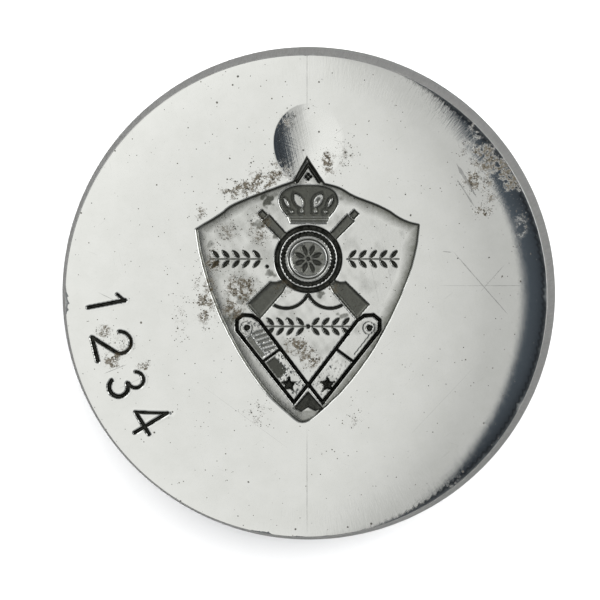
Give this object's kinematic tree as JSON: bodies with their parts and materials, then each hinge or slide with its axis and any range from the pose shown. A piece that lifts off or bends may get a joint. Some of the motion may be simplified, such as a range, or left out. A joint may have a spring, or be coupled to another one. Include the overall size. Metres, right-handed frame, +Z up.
{
  "type": "striking die",
  "caption": "Round hardened striking die with a domed polished face, a sunk shield-badge engraving and tapered sides, doweled and screwed to a grooved backing block.",
  "frame": {"origin": "centre of the backing block's underside, on the part's own turning axis", "axes": "+Z up through the engraved face, +Y towards the shield's pointed top loop, +X to the right of the engraving as seen from above"},
  "size_m": [0.067, 0.067, 0.038],
  "materials": {
    "polished_tool_steel": "mirror-polished face with scratches and rust spots, ground tapered sides",
    "plain_steel": "turned",
    "ground_dowel": "ground",
    "black_screw": "black oxide"
  },
  "bodies": {
    "root": {"engraved_die": "polished_tool_steel", "backing_block": "plain_steel", "dowel_pin_a": "ground_dowel", "dowel_pin_b": "ground_dowel", "cap_screw_a": "black_screw", "cap_screw_b": "black_screw", "cap_screw_c": "black_screw"}
  },
  "joints": []
}
